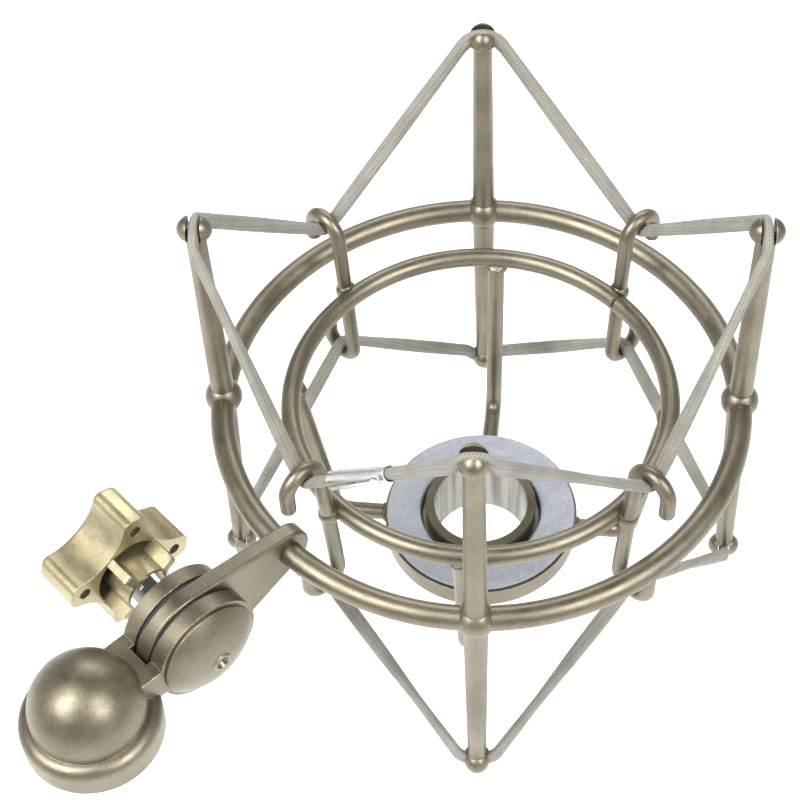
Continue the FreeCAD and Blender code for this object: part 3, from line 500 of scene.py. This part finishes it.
class Tape:
    """The centre line of one elastic, with the tape's width direction and size along it."""

    def __init__(self, level, crimp_step):
        self.level = level
        corners, radii = tape_corners(level)
        self.points, middles = rounded_path(corners, radii)
        self.along, self.length = distances(self.points)
        self.saddles = [self.along[middle] for middle in middles[1::4]]
        self.hooks = [self.along[middle] for middle in middles[3::4]]
        self.rod_ways = []
        for number in range(3, len(corners), 4):
            back = corners[number - 1] - corners[number]
            ahead = corners[(number + 1) % len(corners)] - corners[number]
            self.rod_ways.append(back.cross(ahead).normalized())
        hook = self.hooks[list(CORNERS).index("front_left")]
        near, far = CRIMP_START, CRIMP_START + CRIMP_LENGTH
        self.crimp = tuple(sorted((hook + crimp_step * near, hook + crimp_step * far)))

    def tangent(self, number):
        count = len(self.points)
        return (self.points[(number + 1) % count] - self.points[number - 1]).normalized()

    def flatness(self, distance):
        """The nearest hook's number, and how far the tape has turned to lie flat under it."""
        hook = min(range(4), key=lambda k: loop_gap(distance, self.hooks[k], self.length))
        hook_gap = loop_gap(distance, self.hooks[hook], self.length)
        saddle_gap = min(loop_gap(distance, saddle, self.length) for saddle in self.saddles)
        twisted_run = saddle_gap + hook_gap - UPRIGHT_RUN - FLAT_RUN
        return hook, smoothstep((saddle_gap - UPRIGHT_RUN) / twisted_run)

    def half_sizes(self, distance):
        """Half width and half thickness: pinched under a hook and squeezed in the crimp."""
        width, thick = TAPE
        hook_gap = min(loop_gap(distance, hook, self.length) for hook in self.hooks)
        pinch = 1 - smoothstep((hook_gap - PINCH_RUN) / PINCH_EASE)
        start, finish = self.crimp
        outside = max(start - distance, distance - finish, 0)
        squeeze = 1 - smoothstep((outside - SQUEEZE_RUN) / SQUEEZE_EASE)
        for share, small in ((pinch, TAPE_AT_CROOK), (squeeze, TAPE_IN_CRIMP)):
            width += (small[0] - width) * share
            thick += (small[1] - thick) * share
        return width, thick

    def axes(self, number):
        """The width and thickness directions of the tape at a point."""
        tangent = self.tangent(number)
        upright = SIGN[self.level] * (UP - tangent * UP.dot(tangent)).normalized()
        side = tangent.cross(upright)
        hook, share = self.flatness(self.along[number])
        rod_way = self.rod_ways[hook]
        lean = share * (math.atan2(rod_way.dot(side), rod_way.dot(upright)) % math.pi)
        wide = math.cos(lean) * upright + math.sin(lean) * side
        return wide, tangent.cross(wide)


def tape_section(width, thick):
    """Offsets (across, through) round the tape: three long ribs on each face."""
    offsets = []
    for number in range(TAPE_SIDES):
        angle = 2 * math.pi * number / TAPE_SIDES
        cosine, sine = math.cos(angle), math.sin(angle)
        across = math.copysign(abs(cosine) ** (2 / BOXINESS), cosine)
        through = math.copysign(abs(sine) ** (2 / BOXINESS), sine)
        groove = math.exp(-((abs(across) - RIB_PLACE) / RIB_WIDTH) ** 2)
        offsets.append((width * across, through * (thick - RIB_DEPTH * groove)))
    return offsets


def weave_map(piece, rings, sides, along, perimeter):
    """A UV map in millimetres: along the cord, and round it."""
    layer = piece.data.uv_layers.new(name="weave")
    step = perimeter / sides
    for polygon in piece.data.polygons:
        ring, side = divmod(polygon.index, sides)
        after = ring + 1
        end = along[after] if after < rings else along[-1] + (along[1] - along[0])
        start = along[ring]
        corners = ((start, side), (start, side + 1), (end, side + 1), (end, side))
        for loop, (distance, steps_round) in zip(polygon.loop_indices, corners):
            layer.data[loop].uv = (distance / MM, steps_round * step / MM)


def make_elastic(tape):
    """The braided tape, laid in bends over the posts' saddles and under the cradle's crooks."""
    points = []
    for number, point in enumerate(tape.points):
        wide, deep = tape.axes(number)
        for across, through in tape_section(*tape.half_sizes(tape.along[number])):
            points.append(point + wide * across + deep * through)
    rings = len(tape.points)
    faces = ring_faces(rings, TAPE_SIDES, closed=True)
    piece = add_mesh(tape.level + "_braided_elastic", points, faces, "braided_elastic")
    weave_map(piece, rings, TAPE_SIDES, tape.along, BRAID_BANDS * BRAID_BAND * MM)
    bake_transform(piece)
    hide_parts(tape.level + "_elastic")


CRIMP_SIDES = 40
CRIMP_WALL = 0.35 * MM
CRIMP_WIDE = (2.42 * MM, 2.02 * MM)       # half sizes at its first and last end
CRIMP_THICK = (2.28 * MM, 1.92 * MM)
TAPER_FROM, TAPER_RUN = 0.3, 0.6          # as shares of the crimp's length, as below
CRIMP_FLARE, FLARE_RUN = 0.10 * MM, 0.04          # wider at both ends
CRIMP_NECK, NECK_FROM, NECK_RUN = 0.06 * MM, 0.74, 0.08    # narrower at its dented end
SEAM_DEPTH, SEAM_ANGLE, SEAM_SPREAD = 0.10 * MM, 4.3, 0.09
DENT_DEPTH, DENT_SIZE = 0.30 * MM, 0.75 * MM
CRIMP_ARM = 2.0 * MM                      # turns an angle round the crimp into a distance
DENTS = [(0.80, 0.9), (0.86, 1.9), (0.91, 0.4), (0.83, 2.9), (0.90, 3.8), (0.85, 5.1)]


def round_gap(one, other):
    """The angle from other to one, the short way round."""
    return math.remainder(one - other, 2 * math.pi)


def dent_depth(share, angle):
    """How deep the crimping tool pressed at a share of the length and an angle."""
    depth = 0.0
    for place, bearing in DENTS:
        run = (share - place) * CRIMP_LENGTH / DENT_SIZE
        turn = round_gap(angle, bearing) * CRIMP_ARM / DENT_SIZE
        depth += DENT_DEPTH * math.exp(-(run * run + turn * turn))
    return depth


def crimp_section(share):
    """Offsets (across, through) round the crimp's outside at a share of its length."""
    taper = smoothstep((share - TAPER_FROM) / TAPER_RUN)
    width = CRIMP_WIDE[0] + (CRIMP_WIDE[1] - CRIMP_WIDE[0]) * taper
    thick = CRIMP_THICK[0] + (CRIMP_THICK[1] - CRIMP_THICK[0]) * taper
    end_gap = min(share, 1 - share)
    flare = CRIMP_FLARE * smoothstep(1 - end_gap / FLARE_RUN)
    neck = CRIMP_NECK * smoothstep((share - NECK_FROM) / NECK_RUN)
    offsets = []
    for side in range(CRIMP_SIDES):
        angle = 2 * math.pi * side / CRIMP_SIDES
        seam = SEAM_DEPTH * math.exp(-(round_gap(angle, SEAM_ANGLE) / SEAM_SPREAD) ** 2)
        cut = dent_depth(share, angle) + seam - flare + neck
        offsets.append(((width - cut) * math.cos(angle), (thick - cut) * math.sin(angle)))
    return offsets


def make_crimp(tape):
    """Pressed tube over the join: open ends, a seam groove and the tool's dents."""
    start, finish = tape.crimp
    inside = [number for number, distance in enumerate(tape.along) if start <= distance <= finish]
    wide, deep = tape.axes(inside[len(inside) // 2])
    outer, inner = [], []
    for number in inside:
        share = (tape.along[number] - start) / (finish - start)
        share = 1 - share if tape.level == "lower" else share
        for across, through in crimp_section(share):
            offset = wide * across + deep * through
            outer.append(tape.points[number] + offset)
            inner.append(tape.points[number] + offset * (1 - CRIMP_WALL / offset.length))
    shell = len(outer)
    faces = ring_faces(len(inside), CRIMP_SIDES, closed=False)
    faces += [tuple(shell + v for v in reversed(face)) for face in list(faces)]
    last = shell - CRIMP_SIDES
    for side in range(CRIMP_SIDES):
        after = (side + 1) % CRIMP_SIDES
        faces.append((after, side, shell + side, shell + after))
        faces.append((last + side, last + after, shell + last + after, shell + last + side))
    piece = add_mesh(tape.level + "_pressed_crimp", outer + inner, faces, "crimp_metal")
    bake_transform(piece)
    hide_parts(tape.level + "_crimp")


# ---------------------------------------------------------------- felt
FELT_SIDES = 320
FELT_WIDTH = 8.4 * MM                     # from its hole to its rim
FELT_EDGE = 0.6 * MM                      # radius of its upper edges
FELT_FOOT = 0.8 * MM                      # straight part at the foot of its walls
FELT_RISE = 0.6 * MM                      # how far the wool swells above its plain solid
FELT_LAP = 0.8 * MM                       # how far it laps over the dish's rim
LAP_CLEAR = 0.06 * MM                     # from the lap down to the rim
FELT_INNER_STEPS, FELT_TOP_STEPS, FELT_LIP_STEPS = 5, 24, 8
RELIEF_BROAD, RELIEF_FINE = 0.16 * MM, 0.05 * MM
RELIEF_OUT, RELIEF_DOWN = 0.5, 0.9        # shares of the relief outwards and downwards


def felt_profile():
    """Radius and height round the felt's section: its upper edges soft, the outer one lapping
    over the rim of the dish."""
    low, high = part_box("felt_ring")
    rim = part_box("seat_dish")[1].z - CAGE.z
    outer = (high.x - low.x) / 2
    inner = outer - FELT_WIDTH
    lap = outer + FELT_LAP
    bottom, top = low.z - CAGE.z, high.z - CAGE.z + FELT_RISE
    foot = bottom + FELT_FOOT
    profile = [(inner, bottom), (inner, foot)]
    for step in range(FELT_INNER_STEPS + 1):
        angle = math.pi / 2 * step / FELT_INNER_STEPS
        profile.append((inner + FELT_EDGE * (1 - math.cos(angle)),
                        top - FELT_EDGE * (1 - math.sin(angle))))
    for step in range(1, FELT_TOP_STEPS):
        share = step / FELT_TOP_STEPS
        profile.append((inner + FELT_EDGE + (lap - inner - 2 * FELT_EDGE) * share, top))
    lip = (top - rim - LAP_CLEAR) / 2
    for step in range(FELT_LIP_STEPS + 1):
        angle = math.pi / 2 - math.pi * step / FELT_LIP_STEPS
        profile.append((lap - FELT_EDGE * (1 - math.cos(angle)), top - lip * (1 - math.sin(angle))))
    profile += [(outer, rim), (outer, foot), (outer, bottom), ((inner + outer) / 2, bottom)]
    return profile, bottom, top


def felt_relief(point):
    """Soft unevenness of pressed wool."""
    broad = noise.noise(point * 130)
    fine = noise.fractal(point * 700, 0.8, 2.0, 3)
    return broad * RELIEF_BROAD + fine * RELIEF_FINE


def make_felt():
    """The felt ring, uneven towards its top."""
    profile, bottom, top = felt_profile()
    points = []
    for side in range(FELT_SIDES):
        bearing = 360 * side / FELT_SIDES
        for radius, height in profile:
            point = around(radius, bearing, height)
            share = smoothstep((height - bottom) / (top - bottom))
            relief = felt_relief(point) * share
            points.append(around(radius + relief * RELIEF_OUT, bearing,
                                 height - abs(relief) * RELIEF_DOWN))
    faces = ring_faces(FELT_SIDES, len(profile), closed=True)
    piece = add_mesh("wool_felt_ring", points, [face[::-1] for face in faces], "grey_felt")
    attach(piece, "cradle")
    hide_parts("felt_ring")


FIBRES = 900
FIBRE_RADIUS = 0.022 * MM
FIBRE_STEPS = 5
FIBRE_BEND = 1.6                          # radians, the most that one turns
FIBRE_LENGTHS = (0.7, 2.2)                # mm
FIBRE_LIFTS = (0.08, 0.26)                # mm
FIBRE_MARGINS = (7.6 * MM, 0.9 * MM)      # the fibres' band, inwards from the felt's rim
FIBRE_SINK = 0.10 * MM


def make_felt_fibres():
    """Loose ends of wool lying on the felt, as fine curved hairs."""
    low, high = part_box("felt_ring")
    outer = (high.x - low.x) / 2
    near, far = ((outer - margin) ** 2 for margin in FIBRE_MARGINS)
    rng = random.Random(11)
    points, faces = [], []
    for _ in range(FIBRES):
        reach = math.sqrt(rng.uniform(near, far))
        bearing = rng.uniform(0, 360)
        heading = rng.uniform(0, 2 * math.pi)
        bend = rng.uniform(-FIBRE_BEND, FIBRE_BEND)
        length = rng.uniform(*FIBRE_LENGTHS) * MM
        spot = around(reach, bearing, high.z - CAGE.z + FELT_RISE - FIBRE_SINK)
        lift = rng.uniform(*FIBRE_LIFTS) * MM
        base = len(points)
        for step in range(FIBRE_STEPS + 1):
            share = step / FIBRE_STEPS
            angle = heading + bend * (share - 0.5)
            ahead = Vector((math.cos(angle), math.sin(angle), 0))
            across = Vector((-ahead.y, ahead.x, 0))
            rise = lift * math.sin(math.pi * share)
            centre = spot + ahead * (length * (share - 0.5)) + UP * rise
            for corner in range(3):
                turn = 2 * math.pi * corner / 3
                way = across * math.cos(turn) + UP * math.sin(turn)
                points.append(centre + way * FIBRE_RADIUS)
        walls = ring_faces(FIBRE_STEPS + 1, 3, closed=False)
        ends = [(0, 1, 2), tuple(3 * FIBRE_STEPS + v for v in (2, 1, 0))]
        faces += [tuple(base + v for v in face) for face in walls + ends]
    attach(add_mesh("felt_fibres", points, faces, "grey_felt"), "cradle")


# ---------------------------------------------------------------- welds
INNER_RADIUS = 47.8 * MM                  # the inner ring's centre line, and its rod
INNER_ROD = 2.45 * MM
HOOK_WELD = (1.5 * MM, 2.35 * MM, 2.5 * MM)       # half sizes: outwards, along, up
SUPPORT_WELD = (3.0 * MM, 3.1 * MM, 1.7 * MM)
DISH_WELD = (1.3 * MM, 2.7 * MM, 2.6 * MM)
SUPPORT_TURN = 4.5                        # degrees by which the supports miss the posts
SUPPORT_WELD_IN, SUPPORT_WELD_DOWN = 0.4 * MM, 2.5 * MM
DISH_WELD_OUT, DISH_WELD_DOWN = 0.2 * MM, 53.8 * MM
SEAM_WELD = (2.52 * MM, 1.40 * MM, 2.52 * MM)     # only its middle stands out of the ring
SEAM_BEARING = 42.0


def make_weld(name, centre, halves, bearing, seed):
    """A small uneven bead of weld, painted over with the rods."""
    shape = bmesh.new()
    bmesh.ops.create_icosphere(shape, subdivisions=4, radius=1)
    spin = Matrix.Rotation(math.radians(bearing), 3, "Z")
    for vertex in shape.verts:
        swell = 1 + 0.10 * noise.noise(vertex.co * 2.1 + Vector((seed, 0, 0)))
        swell += 0.03 * noise.noise(vertex.co * 7 + Vector((0, seed, 0)))
        offset = Vector(vertex.co[axis] * halves[axis] * swell for axis in range(3))
        vertex.co = centre + spin @ offset
    mesh = bpy.data.meshes.new(name)
    shape.to_mesh(mesh)
    shape.free()
    piece = add_piece(mesh, "champagne_paint")
    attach(piece, "cradle")
    return piece


def make_welds():
    """Beads where the hooks and supports meet the inner ring, and the supports the dish."""
    low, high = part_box("seat_dish")
    dish_reach = (high.x - low.x) / 2
    for number, (corner, bearing) in enumerate(CORNERS.items()):
        centre = around(INNER_RADIUS + INNER_ROD, bearing, 0)
        make_weld("hook_weld_" + corner, centre, HOOK_WELD, bearing, number)
    for number, (side, bearing) in enumerate(QUARTERS.items()):
        turned = bearing - SUPPORT_TURN
        centre = around(INNER_RADIUS - SUPPORT_WELD_IN, turned, -SUPPORT_WELD_DOWN)
        make_weld("support_weld_" + side, centre, SUPPORT_WELD, turned, number + 10)
        centre = around(dish_reach + DISH_WELD_OUT, turned, -DISH_WELD_DOWN)
        make_weld("dish_weld_" + side, centre, DISH_WELD, turned, number + 20)


def make_seam():
    """The butt joint of the inner ring, a thin burnt line."""
    centre = around(INNER_RADIUS, SEAM_BEARING, 0)
    seam = make_weld("ring_seam", centre, SEAM_WELD, SEAM_BEARING, 31)
    seam.data.materials[0] = satin_paint("burnt_seam", *BURNT)


# ---------------------------------------------------------------- stage and light
FLOOR_DROP = 0.105                        # clear of the cage when it hangs from the arm
FLOOR_REACH = 3.0
FLOOR_GREYS = ((0.93, 0.93, 0.93), (0.96, 0.96, 0.96))
FLOOR_GLOW = 0.22
LAMPS = {                                 # place, width, height and watts
    "left_box": ((-0.52, -0.35, 0.90), 0.50, 0.75, 18),
    "right_box": ((0.72, -0.45, 0.85), 0.45, 0.70, 13),
    "back_box": ((0.15, 1.05, 0.75), 0.90, 0.35, 6),
}
ROOM_HEIGHTS = (0.10, 0.70)               # of a view's direction, and the room's
ROOM_STRENGTHS = (0.64, 0.08)             # strength at them


def make_floor():
    """A pale floor that glows a little, so that its far part isn't dark."""
    height = CAD_BOX[0].z - FLOOR_DROP
    mesh = bpy.data.meshes.new("floor")
    corners = [(x * FLOOR_REACH, y * FLOOR_REACH, height)
               for x, y in ((-1, -1), (1, -1), (1, 1), (-1, 1))]
    mesh.from_pydata(corners, [], [(0, 1, 2, 3)])
    floor = bpy.data.objects.new("floor", mesh)
    bpy.context.scene.collection.objects.link(floor)
    s = Shading("pale_floor")
    mesh.materials.append(s.finish(Base_Color=s.mix(s.noise(300, 2), *FLOOR_GREYS), Roughness=0.8,
                                   Emission_Color=(1, 1, 1, 1), Emission_Strength=FLOOR_GLOW))


def make_lamp(name, place, width, height, watts):
    """A soft box that faces the cage."""
    data = bpy.data.lights.new(name, "AREA")
    data.shape = "RECTANGLE"
    data.size, data.size_y = width, height
    data.energy = watts
    lamp = bpy.data.objects.new(name, data)
    bpy.context.scene.collection.objects.link(lamp)
    place = Vector(place)
    turn = (CAGE - place).to_track_quat("-Z", "Y").to_matrix()
    lamp.matrix_world = Matrix.Translation(place) @ turn.to_4x4()


def make_light():
    """Three soft boxes over a pale room that is darker overhead."""
    scene = bpy.context.scene
    scene.view_settings.view_transform = "Standard"
    scene.view_settings.look = "None"
    for name, settings in LAMPS.items():
        make_lamp(name, *settings)
    world = bpy.data.worlds.new("room")
    scene.world = world
    world.use_nodes = True
    tree = world.node_tree
    place = tree.nodes.new("ShaderNodeTexCoord")
    split = tree.nodes.new("ShaderNodeSeparateXYZ")
    ramp = tree.nodes.new("ShaderNodeMapRange")
    tree.links.new(place.outputs["Generated"], split.inputs[0])
    tree.links.new(split.outputs["Z"], ramp.inputs["Value"])
    sockets = ("From Min", "From Max", "To Min", "To Max")
    for socket, number in zip(sockets, ROOM_HEIGHTS + ROOM_STRENGTHS):
        ramp.inputs[socket].default_value = number
    tree.links.new(ramp.outputs["Result"], tree.nodes["Background"].inputs["Strength"])
    tree.nodes["Background"].inputs["Color"].default_value = (1, 1, 1, 1)


# ---------------------------------------------------------------- the whole
make_camera()
make_light()
make_floor()
MATERIALS = make_materials()
for name, node in frame["nodes"].items():
    node.data.materials.clear()
    node.data.materials.append(MATERIALS[SLOTS[name]])

for level, crimp_step in (("upper", 1), ("lower", -1)):
    tape = Tape(level, crimp_step)
    make_elastic(tape)
    make_crimp(tape)
make_felt()
make_felt_fibres()
make_welds()
make_seam()
